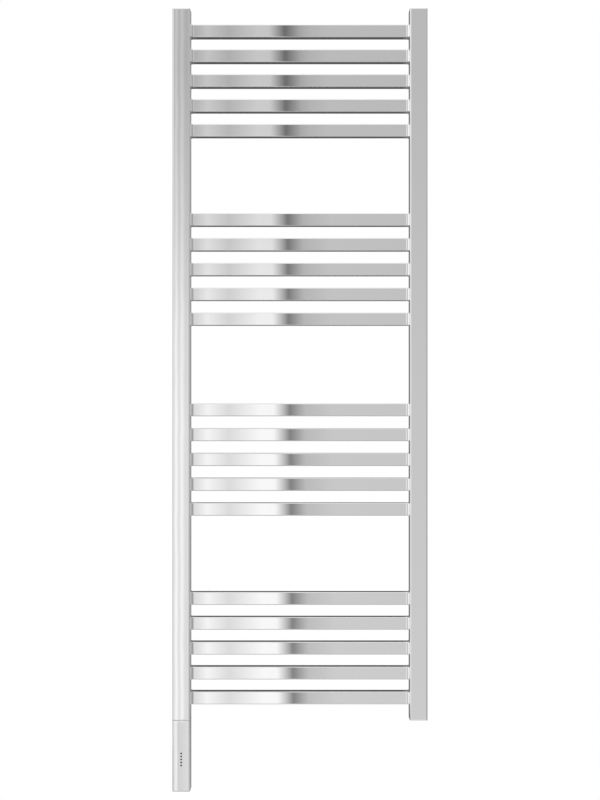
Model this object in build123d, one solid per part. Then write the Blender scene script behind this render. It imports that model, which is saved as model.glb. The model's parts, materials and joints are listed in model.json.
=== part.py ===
from build123d import *
import os

# Electric towel rail, wall hung: two square uprights joined by twenty flat rungs in four groups, a hairpin
# heater in the left upright, a control head below it and four telescopic wall brackets.
# Millimetres. X runs along the rungs, Y points into the wall, Z is up.
# The origin is on the wall, at the centre of the four wall screws.

# ---------------------------------------------------------------- driving dimensions

FRAME_WIDTH = 500.0
UPRIGHT_LENGTH = 1394.0
UPRIGHT_SIZE = 35.0
UPRIGHT_WALL = 1.5
UPRIGHT_CORNER = 3.0
STAND_OFF = 65.0  # wall to the back of the uprights

RUNG_HEIGHT = 25.0
RUNG_DEPTH = 20.0
RUNG_WALL = 1.2
RUNG_CORNER = 1.5
RUNG_PITCH = 48.8
RUNGS_PER_GROUP = 5
OUTER_GROUP_Z = 556.9  # middle of the top and bottom groups, above and below the frame's middle
INNER_GROUP_Z = 186.7

CAP_THICKNESS = 2.0
BOSS_HEIGHT = 10.0
BOSS_BORE_R = 10.5  # G1/2 pipe thread, drawn plain

HEAD_LENGTH = 139.5  # seam to the bottom of the control head
HEAD_WALL = 2.0
HEAD_FLOOR = 2.5
HEAD_BOTTOM_ROUND = 1.5
HEAD_GASKET = 0.6
HEAD_GASKET_INSET = 0.3

BRACKET_SPACING_Z = 1110.0
SOCKET_R = 12.5
SOCKET_LENGTH = 42.0
SOCKET_FLOOR = 6.0
POST_R = 9.0
POST_CLEARANCE = 0.08
POST_LENGTH = 50.0
WALL_SCREW_R = 2.75

# ---------------------------------------------------------------- places worked out from them

UPRIGHT_X = (FRAME_WIDTH - UPRIGHT_SIZE) / 2
INNER_FACE_X = UPRIGHT_X - UPRIGHT_SIZE / 2
FRAME_Y = -(STAND_OFF + UPRIGHT_SIZE / 2)
FRONT_Y = -(STAND_OFF + UPRIGHT_SIZE)
BACK_Y = -STAND_OFF
TOP_Z = UPRIGHT_LENGTH / 2
BOTTOM_Z = -TOP_Z
RUNG_HEIGHTS = [
    group_z + ((RUNGS_PER_GROUP - 1) / 2 - step) * RUNG_PITCH
    for group_z in (OUTER_GROUP_Z, INNER_GROUP_Z, -INNER_GROUP_Z, -OUTER_GROUP_Z)
    for step in range(RUNGS_PER_GROUP)
]
INSIDE_SIZE = UPRIGHT_SIZE - 2 * UPRIGHT_WALL
INSIDE_CORNER = UPRIGHT_CORNER - UPRIGHT_WALL
HEAD_TOP_Z = BOTTOM_Z - HEAD_GASKET
HEAD_BOTTOM_Z = BOTTOM_Z - HEAD_LENGTH
HEAD_INSIDE = UPRIGHT_SIZE - 2 * HEAD_WALL
LEFT, RIGHT = -1, 1


def save(name, shape):
    """Writes one sub-part, which may be a list of separate solids, as parts/NAME.step."""
    if isinstance(shape, list):
        shape = Compound(children=[solid for item in shape for solid in item.solids()])
    export_step(shape, f"parts/{name}.step")


def upright_prism(size, corner, low_z, height, side):
    """A rounded square prism on the axis of the left or right upright."""
    return Pos(side * UPRIGHT_X, FRAME_Y, low_z) * extrude(RectangleRounded(size, size, corner), height)


def disc(x, y, z, radius, height):
    """A vertical cylinder standing on z."""
    return Pos(x, y, z + height / 2) * Cylinder(radius, height)


def rod_y(x, z, radius, start_y, end_y):
    """A cylinder along Y from start_y to end_y."""
    return Pos(x, (start_y + end_y) / 2, z) * Rot(X=90) * Cylinder(radius, abs(end_y - start_y))


def hexagon(across_flats):
    """A hexagon, for bolt heads and key sockets."""
    return RegularPolygon(across_flats / 2, 6, major_radius=False)


def hexagon_y(x, z, across_flats, start_y, end_y):
    """A hexagonal prism along Y from start_y to end_y."""
    prism = extrude(hexagon(across_flats), abs(end_y - start_y) / 2, both=True)
    return Pos(x, (start_y + end_y) / 2, z) * Rot(X=90) * prism


def block(x, y, z):
    """A box between two corners, given as (low, high) along each axis."""
    spans = [high - low for low, high in (x, y, z)]
    middle = [(low + high) / 2 for low, high in (x, y, z)]
    return Pos(*middle) * Box(*spans)


# ---------------------------------------------------------------- welded frame

VENT_Z = TOP_Z - 30.0
VENT_BOSS_R = 10.0


def rung_envelope(z, start_x, end_x, inset=0.0):
    """The rung's outline, drawn in by inset, extruded along X."""
    width = RUNG_DEPTH - 2 * inset
    height = RUNG_HEIGHT - 2 * inset
    outline = RectangleRounded(width, height, RUNG_CORNER - inset)
    plane = Plane(origin=(start_x, FRAME_Y, z), x_dir=(0, 1, 0), z_dir=(1, 0, 0))
    return extrude(plane * outline, end_x - start_x)


def upright(side):
    """A square tube with a slot for the end of each rung, and on the right a hole for the air vent's boss."""
    tube = upright_prism(UPRIGHT_SIZE, UPRIGHT_CORNER, BOTTOM_Z, UPRIGHT_LENGTH, side)
    tube -= upright_prism(INSIDE_SIZE, INSIDE_CORNER, BOTTOM_Z, UPRIGHT_LENGTH, side)
    wall_x = sorted((side * INNER_FACE_X, side * (INNER_FACE_X + UPRIGHT_WALL)))
    tube -= [rung_envelope(z, *wall_x) for z in RUNG_HEIGHTS]
    if side == RIGHT:
        tube -= rod_y(UPRIGHT_X, VENT_Z, VENT_BOSS_R, BACK_Y - UPRIGHT_WALL, BACK_Y)
    return tube


def rung(z):
    """A flat tube that ends flush with the inside of both uprights."""
    end_x = INNER_FACE_X + UPRIGHT_WALL
    return rung_envelope(z, -end_x, end_x) - rung_envelope(z, -end_x, end_x, RUNG_WALL)


def top_caps():
    """The plate welded into the top of each upright."""
    low_z = TOP_Z - CAP_THICKNESS
    return [upright_prism(INSIDE_SIZE, INSIDE_CORNER, low_z, CAP_THICKNESS, side) for side in (LEFT, RIGHT)]


def bottom_bosses():
    """The threaded plate welded into the bottom of each upright."""
    return [
        upright_prism(INSIDE_SIZE, INSIDE_CORNER, BOTTOM_Z, BOSS_HEIGHT, side)
        - disc(side * UPRIGHT_X, FRAME_Y, BOTTOM_Z, BOSS_BORE_R, BOSS_HEIGHT)
        for side in (LEFT, RIGHT)
    ]


# ---------------------------------------------------------------- drain plug, right upright

PLUG_R = BOSS_BORE_R - 0.1
PLUG_RECESS = 1.2  # depth of the plug's face inside the boss
PLUG_SEAL_SIZE = 1.6
PLUG_SEAL_Z = BOTTOM_Z + BOSS_HEIGHT - 3.0
PLUG_KEY_ACROSS = 8.0
PLUG_KEY_DEPTH = 5.0


def drain_plug():
    """A recessed plug with a hexagon socket and a groove for its seal."""
    low_z = BOTTOM_Z + PLUG_RECESS
    plug = disc(UPRIGHT_X, FRAME_Y, low_z, PLUG_R, BOSS_HEIGHT - PLUG_RECESS)
    plug -= Pos(UPRIGHT_X, FRAME_Y, low_z) * extrude(hexagon(PLUG_KEY_ACROSS), PLUG_KEY_DEPTH)
    return plug - drain_seal()


def drain_seal():
    """The ring in the plug's groove."""
    ring = disc(UPRIGHT_X, FRAME_Y, PLUG_SEAL_Z, PLUG_R, PLUG_SEAL_SIZE)
    return ring - disc(UPRIGHT_X, FRAME_Y, PLUG_SEAL_Z, PLUG_R - PLUG_SEAL_SIZE, PLUG_SEAL_SIZE)


# ---------------------------------------------------------------- air vent, back of the right upright

VENT_THREAD_R = 5.0
VENT_THREAD_CLEARANCE = 0.1
VENT_FACE_Y = BACK_Y + 4.0
VENT_SEAL = 1.0
VENT_SEAL_R = 7.0
VENT_HEX = 14.0
VENT_HEX_START_Y = VENT_FACE_Y + VENT_SEAL
VENT_HEX_END_Y = VENT_HEX_START_Y + 5.0
VENT_SPINDLE_R = 2.0
VENT_CLEARANCE = 0.05
VENT_KEY_SIZE = 5.0
VENT_KEY_START_Y = VENT_HEX_END_Y + 0.3
VENT_KEY_END_Y = VENT_KEY_START_Y + 5.0


def vent_boss():
    """The threaded bush welded through the back wall of the upright."""
    bush = rod_y(UPRIGHT_X, VENT_Z, VENT_BOSS_R, BACK_Y - UPRIGHT_WALL, VENT_FACE_Y)
    return bush - rod_y(UPRIGHT_X, VENT_Z, VENT_THREAD_R, BACK_Y - UPRIGHT_WALL, VENT_FACE_Y)


def vent_seal():
    """The flat ring between the bush and the vent's hexagon."""
    ring = rod_y(UPRIGHT_X, VENT_Z, VENT_SEAL_R, VENT_FACE_Y, VENT_HEX_START_Y)
    return ring - rod_y(UPRIGHT_X, VENT_Z, VENT_THREAD_R, VENT_FACE_Y, VENT_HEX_START_Y)


def vent_body():
    """The screwed-in vent, bored for its spindle."""
    thread_r = VENT_THREAD_R - VENT_THREAD_CLEARANCE
    body = rod_y(UPRIGHT_X, VENT_Z, thread_r, BACK_Y - UPRIGHT_WALL, VENT_HEX_START_Y)
    body += hexagon_y(UPRIGHT_X, VENT_Z, VENT_HEX, VENT_HEX_START_Y, VENT_HEX_END_Y)
    return body - rod_y(UPRIGHT_X, VENT_Z, VENT_SPINDLE_R, BACK_Y - UPRIGHT_WALL, VENT_HEX_END_Y)


def vent_spindle():
    """The screw that a square key turns to let air out."""
    half = VENT_KEY_SIZE / 2
    shaft = rod_y(UPRIGHT_X, VENT_Z, VENT_SPINDLE_R - VENT_CLEARANCE, BACK_Y, VENT_KEY_START_Y)
    return shaft + block(
        (UPRIGHT_X - half, UPRIGHT_X + half),
        (VENT_KEY_START_Y, VENT_KEY_END_Y),
        (VENT_Z - half, VENT_Z + half),
    )


# ---------------------------------------------------------------- wall brackets

GRUB_R = 2.5
GRUB_Y = -(SOCKET_LENGTH - 5.0)
GRUB_SINK = 0.3  # how far the screw's end sits inside the socket's outside
GRUB_GAP = 0.2  # between the screw's tip and the post
GRUB_KEY_ACROSS = 2.5
GRUB_KEY_DEPTH = 1.8
GRUB_HOLE_OVERRUN = 1.0  # carries the hole's cut through the curved inner wall
COLLAR_R = 11.5
COLLAR_LENGTH = 3.0
BRACKETS = {
    "upper_left": (LEFT * UPRIGHT_X, BRACKET_SPACING_Z / 2),
    "upper_right": (RIGHT * UPRIGHT_X, BRACKET_SPACING_Z / 2),
    "lower_left": (LEFT * UPRIGHT_X, -BRACKET_SPACING_Z / 2),
    "lower_right": (RIGHT * UPRIGHT_X, -BRACKET_SPACING_Z / 2),
}


def wall_socket(x, z):
    """A cup on the wall, with a screw hole in its floor and a threaded hole below for the grub screw."""
    cup = rod_y(x, z, SOCKET_R, -SOCKET_LENGTH, 0)
    cup -= rod_y(x, z, POST_R + POST_CLEARANCE, -SOCKET_LENGTH, -SOCKET_FLOOR)
    cup -= rod_y(x, z, WALL_SCREW_R, -SOCKET_FLOOR, 0)
    return cup - disc(x, GRUB_Y, z - SOCKET_R, GRUB_R, SOCKET_R - POST_R + GRUB_HOLE_OVERRUN)


def grub_screw(x, z):
    """The headless screw that locks the post, its hexagon socket facing down."""
    low_z = z - SOCKET_R + GRUB_SINK
    screw = disc(x, GRUB_Y, low_z, GRUB_R, SOCKET_R - POST_R - GRUB_SINK - GRUB_GAP)
    return screw - Pos(x, GRUB_Y, low_z) * extrude(hexagon(GRUB_KEY_ACROSS), GRUB_KEY_DEPTH)


def post(x, z):
    """The post on the back of an upright, with its welding collar."""
    pin = rod_y(x, z, POST_R, BACK_Y, BACK_Y + POST_LENGTH)
    return pin + rod_y(x, z, COLLAR_R, BACK_Y, BACK_Y + COLLAR_LENGTH)


# ---------------------------------------------------------------- heater, left upright

HEATER_X = LEFT * UPRIGHT_X
HEATER_SEAL = 2.0
HEATER_HEX = 24.0
HEATER_HEX_HEIGHT = 8.0
HEATER_BASE_Z = BOTTOM_Z + BOSS_HEIGHT
HEX_TOP_Z = BOTTOM_Z - HEATER_SEAL
HEX_BOTTOM_Z = HEX_TOP_Z - HEATER_HEX_HEIGHT
ELEMENT_R = 3.25
ELEMENT_HALF_PITCH = 6.0
ELEMENT_LENGTH = 560.0
WELL_R = 2.5
WELL_BORE_R = 1.8
WELL_END = 1.0
WELL_Y = FRAME_Y + 7.0
WELL_LENGTH = 180.0
SENSOR_R = 1.6
SENSOR_LENGTH = 14.0
PIN_R = 1.2
PIN_LENGTH = 7.0


def heater_head():
    """The brass head: a plain-drawn thread and the hexagon that tightens it."""
    head = Pos(HEATER_X, FRAME_Y, HEX_BOTTOM_Z) * extrude(hexagon(HEATER_HEX), HEATER_HEX_HEIGHT)
    return head + disc(HEATER_X, FRAME_Y, HEX_TOP_Z, PLUG_R, HEATER_BASE_Z - HEX_TOP_Z)


def heater_seal():
    """The flat seal between the hexagon and the boss."""
    ring = disc(HEATER_X, FRAME_Y, HEX_TOP_Z, HEATER_HEX / 2, HEATER_SEAL)
    return ring - disc(HEATER_X, FRAME_Y, HEX_TOP_Z, BOSS_BORE_R, HEATER_SEAL)


def heating_element():
    """The hairpin of sheathed heater tube."""
    bend_z = HEATER_BASE_Z + ELEMENT_LENGTH
    left_x, right_x = HEATER_X - ELEMENT_HALF_PITCH, HEATER_X + ELEMENT_HALF_PITCH
    up = Line((left_x, FRAME_Y, HEATER_BASE_Z), (left_x, FRAME_Y, bend_z))
    bend = ThreePointArc(up @ 1, (HEATER_X, FRAME_Y, bend_z + ELEMENT_HALF_PITCH), (right_x, FRAME_Y, bend_z))
    down = Line(bend @ 1, (right_x, FRAME_Y, HEATER_BASE_Z))
    return sweep(Pos(up @ 0) * Circle(ELEMENT_R), path=Wire([up, bend, down]))


def thermowell():
    """The closed tube that keeps the sensor dry."""
    tube = disc(HEATER_X, WELL_Y, HEATER_BASE_Z, WELL_R, WELL_LENGTH)
    return tube - disc(HEATER_X, WELL_Y, HEATER_BASE_Z, WELL_BORE_R, WELL_LENGTH - WELL_END)


def temperature_sensor():
    """The sensor capsule at the top of its well."""
    low_z = HEATER_BASE_Z + WELL_LENGTH - 2 * WELL_END - SENSOR_LENGTH
    return disc(HEATER_X, WELL_Y, low_z, SENSOR_R, SENSOR_LENGTH)


def heater_pins():
    """The element's two connecting pins, below the hexagon."""
    low_z = HEX_BOTTOM_Z - PIN_LENGTH
    pin_x = (HEATER_X - ELEMENT_HALF_PITCH, HEATER_X + ELEMENT_HALF_PITCH)
    return [disc(x, FRAME_Y, low_z, PIN_R, PIN_LENGTH) for x in pin_x]


# ---------------------------------------------------------------- control head

LAMP_PITCH = 5.85
LAMP_CENTRE_Z = BOTTOM_Z - 76.1
LAMP_R = 1.8
LAMP_FLANGE_R = 2.6
LAMP_FLANGE = 1.0
LAMP_GAP = 0.3  # between a light pipe and the lamp behind it
LAMP_HEIGHTS = [LAMP_CENTRE_Z + step * LAMP_PITCH for step in (2, 1, 0, -1, -2)]

HEAD_FLOOR_Z = HEAD_BOTTOM_Z + HEAD_FLOOR
HEAD_INSIDE_CORNER = 1.0
FACE_INSIDE_Y = FRONT_Y + HEAD_WALL
REAR_INSIDE_Y = BACK_Y - HEAD_WALL

BUTTON_R = 6.0
BUTTON_GAP = 0.15
BUTTON_RECESS = 0.2
BUTTON_TRAVEL = 0.8
BUTTON_EDGE = 0.5
BUTTON_FLANGE_R = 7.5
BUTTON_FLANGE = 1.5
BUTTON_STEM_R = 2.0
BUTTON_FLANGE_Z = HEAD_FLOOR_Z + 0.1

GLAND_Z = BOTTOM_Z - 48.0
GLAND_THREAD_R = 6.0
GLAND_BORE_R = 4.2
GLAND_SEAL_R = 5.0
GLAND_CABLE_R = 3.5
GLAND_HEX = 15.0
GLAND_HEX_END_Y = BACK_Y + 5.0
GLAND_END_Y = BACK_Y + 15.0
GLAND_LIP = 1.0
GLAND_TAIL_Y = BACK_Y - 7.0
GLAND_DOME_R = 7.0
GLAND_DOME_ROUND = 1.8
LOCKNUT_THICKNESS = 3.5

HEAD_SCREW_R = 1.5
HEAD_SCREW_HEAD_R = 2.8
HEAD_SCREW_HEAD = 1.6
HEAD_SCREW_KEY_ACROSS = 2.0
HEAD_SCREW_KEY_DEPTH = 1.2
HEAD_SCREW_UPPER_Z = BOTTOM_Z - 18.0
HEAD_SCREW_LOWER_Z = BOTTOM_Z - 100.0
HEAD_SCREWS_Z = (HEAD_SCREW_UPPER_Z, HEAD_SCREW_LOWER_Z)
HEAD_SCREW_LENGTH = 8.0
HEAD_SCREW_SPARE = 0.3  # hole left beyond the screw's tip
SCREW_BOSS_R = 3.5

BOARD_FRONT_Y = FRONT_Y + 10.0
BOARD_BACK_Y = BOARD_FRONT_Y + 1.6
BOARD_HALF_WIDTH = 12.8
BOARD_LOW_Z = BOTTOM_Z - 121.0
BOARD_HIGH_Z = BOTTOM_Z - 20.0
BOARD_CLEARANCE = 0.1
LAMP_CHIP = (2.0, 1.2, 1.6)
CONTROLLER = (10.0, 1.6, 10.0)
CONTROLLER_Z = LAMP_CENTRE_Z + 28.0
CRYSTAL = (5.0, 1.4, 3.0)
CRYSTAL_X = HEATER_X + 6.5
CRYSTAL_Z = CONTROLLER_Z - 10.0
RELAY = (10.0, 8.0, 14.0)
RELAY_Z = BOTTOM_Z - 65.0
TERMINAL = (16.5, 9.0, 8.0)
TERMINAL_PITCH = 5.0
TERMINAL_WELL_R = 1.6
TERMINAL_WELL_DEPTH = 2.5
CAPACITOR_R = 4.0
CAPACITOR_LENGTH = 12.0
CAPACITOR_X = HEATER_X + 6.0
CAPACITOR_Z = BOTTOM_Z - 88.0
LEAD_R = 0.8
LEAD_BEND_R = 4.0
HEATER_LEAD_Z = BOTTOM_Z - 30.0
SENSOR_LEAD_Z = BOTTOM_Z - 35.0

CARRIER_HALF = 14.8
CARRIER_PLATE = 2.5
CARRIER_HOLE_R = 9.5
CARRIER_FLOOR_Z = BOTTOM_Z - 125.0
CARRIER_RAIL_Y = (BOARD_FRONT_Y - 2.0, BOARD_BACK_Y + 3.0)
CARRIER_BLOCK_DEPTH = 6.0
CARRIER_BLOCK_BELOW = 4.0
CARRIER_BRIDGE_HALF = 3.0
CARRIER_FOOT_HALF = 5.0

SWITCH_HALF = 3.0
SWITCH_HEIGHT = 3.5
SWITCH_BOTTOM_Z = CARRIER_FLOOR_Z - SWITCH_HEIGHT
SWITCH_WELL = 2.8
PLUNGER_R = 1.75
PLUNGER_CLEARANCE = 0.1
PLUNGER_REACH = 2.0  # below the switch
PLUNGER_SPARE = 0.3  # left above the plunger when it is pressed


def head_gasket():
    """The thin gasket that shows as the seam between upright and head."""
    size = UPRIGHT_SIZE - 2 * HEAD_GASKET_INSET
    ring = upright_prism(size, UPRIGHT_CORNER - HEAD_GASKET_INSET, HEAD_TOP_Z, HEAD_GASKET, LEFT)
    return ring - upright_prism(HEAD_INSIDE, HEAD_INSIDE_CORNER, HEAD_TOP_Z, HEAD_GASKET, LEFT)


def control_housing():
    """The square shell: open at the top, with holes for lamps, button, gland and screws."""
    height = HEAD_TOP_Z - HEAD_BOTTOM_Z
    shell = upright_prism(UPRIGHT_SIZE, UPRIGHT_CORNER, HEAD_BOTTOM_Z, height, LEFT)
    shell = fillet(shell.faces().sort_by(Axis.Z)[0].edges(), HEAD_BOTTOM_ROUND)
    shell -= upright_prism(HEAD_INSIDE, HEAD_INSIDE_CORNER, HEAD_FLOOR_Z, height, LEFT)
    shell -= [rod_y(HEATER_X, z, LAMP_R, FRONT_Y, FACE_INSIDE_Y) for z in LAMP_HEIGHTS]
    shell -= disc(HEATER_X, FRAME_Y, HEAD_BOTTOM_Z, BUTTON_R + BUTTON_GAP, HEAD_FLOOR)
    shell -= rod_y(HEATER_X, GLAND_Z, GLAND_THREAD_R, REAR_INSIDE_Y, BACK_Y)
    return shell - [rod_y(HEATER_X, z, HEAD_SCREW_R, REAR_INSIDE_Y, BACK_Y) for z in HEAD_SCREWS_Z]


def indicator_lens(z):
    """A light pipe, flanged behind the front wall."""
    pipe = rod_y(HEATER_X, z, LAMP_R, FRONT_Y, BOARD_FRONT_Y - LAMP_CHIP[1] - LAMP_GAP)
    return pipe + rod_y(HEATER_X, z, LAMP_FLANGE_R, FACE_INSIDE_Y, FACE_INSIDE_Y + LAMP_FLANGE)


def on_board(x, z, size, back=False):
    """A component of the given width, depth and height, centred at x and z on one face of the board."""
    width, depth, height = size
    span_y = (BOARD_BACK_Y, BOARD_BACK_Y + depth) if back else (BOARD_FRONT_Y - depth, BOARD_FRONT_Y)
    return block((x - width / 2, x + width / 2), span_y, (z - height / 2, z + height / 2))


def board_parts():
    """Five lamps, the controller chip and its crystal, on the front of the board."""
    lamps = [on_board(HEATER_X, z, LAMP_CHIP) for z in LAMP_HEIGHTS]
    return lamps + [on_board(HEATER_X, CONTROLLER_Z, CONTROLLER), on_board(CRYSTAL_X, CRYSTAL_Z, CRYSTAL)]


def control_board():
    """The printed circuit board."""
    half = BOARD_HALF_WIDTH
    return block((HEATER_X - half, HEATER_X + half), (BOARD_FRONT_Y, BOARD_BACK_Y), (BOARD_LOW_Z, BOARD_HIGH_Z))


def board_carrier():
    """The plastic frame that hangs from the heater head and holds the board, the switch and the screws."""
    full_x = (HEATER_X - CARRIER_HALF, HEATER_X + CARRIER_HALF)
    full_y = (FRAME_Y - CARRIER_HALF, FRAME_Y + CARRIER_HALF)
    full_z = (CARRIER_FLOOR_Z, HEX_BOTTOM_Z)
    slot = BOARD_HALF_WIDTH + BOARD_CLEARANCE
    frame = block(full_x, full_y, (HEX_BOTTOM_Z - CARRIER_PLATE, HEX_BOTTOM_Z))
    frame -= disc(HEATER_X, FRAME_Y, HEX_BOTTOM_Z - CARRIER_PLATE, CARRIER_HOLE_R, CARRIER_PLATE)
    frame += block((full_x[0], HEATER_X - slot), CARRIER_RAIL_Y, full_z)
    frame += block((HEATER_X + slot, full_x[1]), CARRIER_RAIL_Y, full_z)
    frame += block(full_x, CARRIER_RAIL_Y, (CARRIER_FLOOR_Z, BOARD_LOW_Z - BOARD_CLEARANCE))
    frame += block(
        (HEATER_X - CARRIER_FOOT_HALF, HEATER_X + CARRIER_FOOT_HALF),
        (CARRIER_RAIL_Y[0], FRAME_Y + CARRIER_FOOT_HALF),
        (CARRIER_FLOOR_Z, CARRIER_FLOOR_Z + CARRIER_PLATE),
    )
    block_y = full_y[1] - CARRIER_BLOCK_DEPTH
    bridge_y = BOARD_BACK_Y + BOARD_CLEARANCE
    bridge_z = (HEAD_SCREW_LOWER_Z - CARRIER_BRIDGE_HALF, HEAD_SCREW_LOWER_Z + CARRIER_BRIDGE_HALF)
    frame += block(full_x, (block_y, full_y[1]), (HEAD_SCREW_UPPER_Z - CARRIER_BLOCK_BELOW, HEX_BOTTOM_Z))
    frame += rod_y(HEATER_X, HEAD_SCREW_UPPER_Z, SCREW_BOSS_R, block_y, REAR_INSIDE_Y)
    frame += block(full_x, (bridge_y, CARRIER_RAIL_Y[1]), bridge_z)
    frame += rod_y(HEATER_X, HEAD_SCREW_LOWER_Z, SCREW_BOSS_R, bridge_y, REAR_INSIDE_Y)
    hole_y = BACK_Y - HEAD_SCREW_LENGTH - HEAD_SCREW_SPARE
    return frame - [rod_y(HEATER_X, z, HEAD_SCREW_R, hole_y, REAR_INSIDE_Y) for z in HEAD_SCREWS_Z]


def mains_terminal():
    """The three-way terminal block, opposite the gland, with its clamp screws sunk in wells."""
    face_y = BOARD_BACK_Y + TERMINAL[1]
    wells = [
        rod_y(HEATER_X + step * TERMINAL_PITCH, GLAND_Z, TERMINAL_WELL_R, face_y - TERMINAL_WELL_DEPTH, face_y)
        for step in (-1, 0, 1)
    ]
    return on_board(HEATER_X, GLAND_Z, TERMINAL, back=True) - wells


def power_relay():
    """The relay that switches the heater, on the back of the board."""
    return on_board(HEATER_X, RELAY_Z, RELAY, back=True)


def smoothing_capacitor():
    """The power supply's capacitor, standing on the back of the board."""
    return rod_y(CAPACITOR_X, CAPACITOR_Z, CAPACITOR_R, BOARD_BACK_Y, BOARD_BACK_Y + CAPACITOR_LENGTH)


def lead(x, y, top_z, end_z):
    """An insulated wire that drops from top_z and turns into the back of the board at end_z."""
    path = FilletPolyline((x, y, top_z), (x, y, end_z), (x, BOARD_BACK_Y, end_z), radius=LEAD_BEND_R)
    return sweep(Pos(x, y, top_z) * Circle(LEAD_R), path=path)


def heater_leads():
    """The two wires from the element's pins to the board."""
    pin_x = (HEATER_X - ELEMENT_HALF_PITCH, HEATER_X + ELEMENT_HALF_PITCH)
    return [lead(x, FRAME_Y, HEX_BOTTOM_Z - PIN_LENGTH, HEATER_LEAD_Z) for x in pin_x]


def sensor_lead():
    """The sensor's wire, from the heater head to the board."""
    return lead(HEATER_X, WELL_Y, HEX_BOTTOM_Z, SENSOR_LEAD_Z)


def head_screw(z):
    """A socket-head screw that holds the housing to the carrier."""
    screw = rod_y(HEATER_X, z, HEAD_SCREW_R, BACK_Y - HEAD_SCREW_LENGTH, BACK_Y)
    screw += rod_y(HEATER_X, z, HEAD_SCREW_HEAD_R, BACK_Y, BACK_Y + HEAD_SCREW_HEAD)
    key_y = BACK_Y + HEAD_SCREW_HEAD - HEAD_SCREW_KEY_DEPTH
    return screw - hexagon_y(HEATER_X, z, HEAD_SCREW_KEY_ACROSS, key_y, BACK_Y + HEAD_SCREW_HEAD)


def gland_body():
    """The cable gland: thread through the wall, hexagon, and dome that squeezes the seal."""
    dome = rod_y(HEATER_X, GLAND_Z, GLAND_DOME_R, GLAND_HEX_END_Y, GLAND_END_Y)
    body = fillet(dome.faces().sort_by(Axis.Y)[-1].edges(), GLAND_DOME_ROUND)
    body += hexagon_y(HEATER_X, GLAND_Z, GLAND_HEX, BACK_Y, GLAND_HEX_END_Y)
    body += rod_y(HEATER_X, GLAND_Z, GLAND_THREAD_R, GLAND_TAIL_Y, BACK_Y)
    body -= rod_y(HEATER_X, GLAND_Z, GLAND_BORE_R, GLAND_TAIL_Y, GLAND_END_Y)
    return body - gland_cavity()


def gland_cavity():
    """The space that the seal fills."""
    return rod_y(HEATER_X, GLAND_Z, GLAND_SEAL_R, GLAND_HEX_END_Y, GLAND_END_Y - GLAND_LIP)


def gland_seal():
    """The rubber sleeve that grips the cable."""
    return gland_cavity() - rod_y(HEATER_X, GLAND_Z, GLAND_CABLE_R, GLAND_HEX_END_Y, GLAND_END_Y)


def gland_locknut():
    """The nut inside the wall."""
    start_y = REAR_INSIDE_Y - LOCKNUT_THICKNESS
    nut = hexagon_y(HEATER_X, GLAND_Z, GLAND_HEX, start_y, REAR_INSIDE_Y)
    return nut - rod_y(HEATER_X, GLAND_Z, GLAND_THREAD_R, start_y, REAR_INSIDE_Y)


def switch_body():
    """The push switch under the carrier's foot, hollow where its plunger moves."""
    body = block(
        (HEATER_X - SWITCH_HALF, HEATER_X + SWITCH_HALF),
        (FRAME_Y - SWITCH_HALF, FRAME_Y + SWITCH_HALF),
        (SWITCH_BOTTOM_Z, CARRIER_FLOOR_Z),
    )
    return body - disc(HEATER_X, FRAME_Y, SWITCH_BOTTOM_Z, PLUNGER_R + PLUNGER_CLEARANCE, SWITCH_WELL)


def switch_plunger():
    """The switch's moving pin."""
    length = PLUNGER_REACH + SWITCH_WELL - BUTTON_TRAVEL - PLUNGER_SPARE
    return disc(HEATER_X, FRAME_Y, SWITCH_BOTTOM_Z - PLUNGER_REACH, PLUNGER_R, length)


def mode_button():
    """The button in the head's underside: cap, retaining flange and stem up to the plunger."""
    cap_z = HEAD_BOTTOM_Z + BUTTON_RECESS
    stem_z = BUTTON_FLANGE_Z + BUTTON_FLANGE
    button = disc(HEATER_X, FRAME_Y, cap_z, BUTTON_R, BUTTON_FLANGE_Z - cap_z)
    button = fillet(button.faces().sort_by(Axis.Z)[0].edges(), BUTTON_EDGE)
    button += disc(HEATER_X, FRAME_Y, BUTTON_FLANGE_Z, BUTTON_FLANGE_R, BUTTON_FLANGE)
    return button + disc(HEATER_X, FRAME_Y, stem_z, BUTTON_STEM_R, SWITCH_BOTTOM_Z - PLUNGER_REACH - stem_z)


# ---------------------------------------------------------------- the whole part


def main():
    """Builds every sub-part and writes its STEP file."""
    os.makedirs("parts", exist_ok=True)
    save("left_upright", upright(LEFT))
    save("right_upright", upright(RIGHT))
    for number, z in enumerate(RUNG_HEIGHTS, 1):
        save(f"rung_{number:02d}", rung(z))

    for name, (x, z) in BRACKETS.items():
        save(f"{name}_wall_socket", wall_socket(x, z))
    save("bracket_posts", [post(x, z) for x, z in BRACKETS.values()])
    save("bracket_grub_screws", [grub_screw(x, z) for x, z in BRACKETS.values()])
    save("indicator_lenses", [indicator_lens(z) for z in LAMP_HEIGHTS])
    save("head_screws", [head_screw(z) for z in HEAD_SCREWS_Z])

    single = {
        "top_caps": top_caps,
        "bottom_bosses": bottom_bosses,
        "drain_plug": drain_plug,
        "drain_plug_seal": drain_seal,
        "vent_boss": vent_boss,
        "vent_seal": vent_seal,
        "vent_body": vent_body,
        "vent_spindle": vent_spindle,
        "heater_head": heater_head,
        "heater_seal": heater_seal,
        "heating_element": heating_element,
        "thermowell": thermowell,
        "temperature_sensor": temperature_sensor,
        "heater_pins": heater_pins,
        "heater_leads": heater_leads,
        "sensor_lead": sensor_lead,
        "head_gasket": head_gasket,
        "control_housing": control_housing,
        "board_carrier": board_carrier,
        "control_board": control_board,
        "board_parts": board_parts,
        "mains_terminal": mains_terminal,
        "power_relay": power_relay,
        "smoothing_capacitor": smoothing_capacitor,
        "gland_body": gland_body,
        "gland_seal": gland_seal,
        "gland_locknut": gland_locknut,
        "switch_body": switch_body,
        "switch_plunger": switch_plunger,
        "mode_button": mode_button,
    }
    for name, make in single.items():
        save(name, make())


main()
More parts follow.
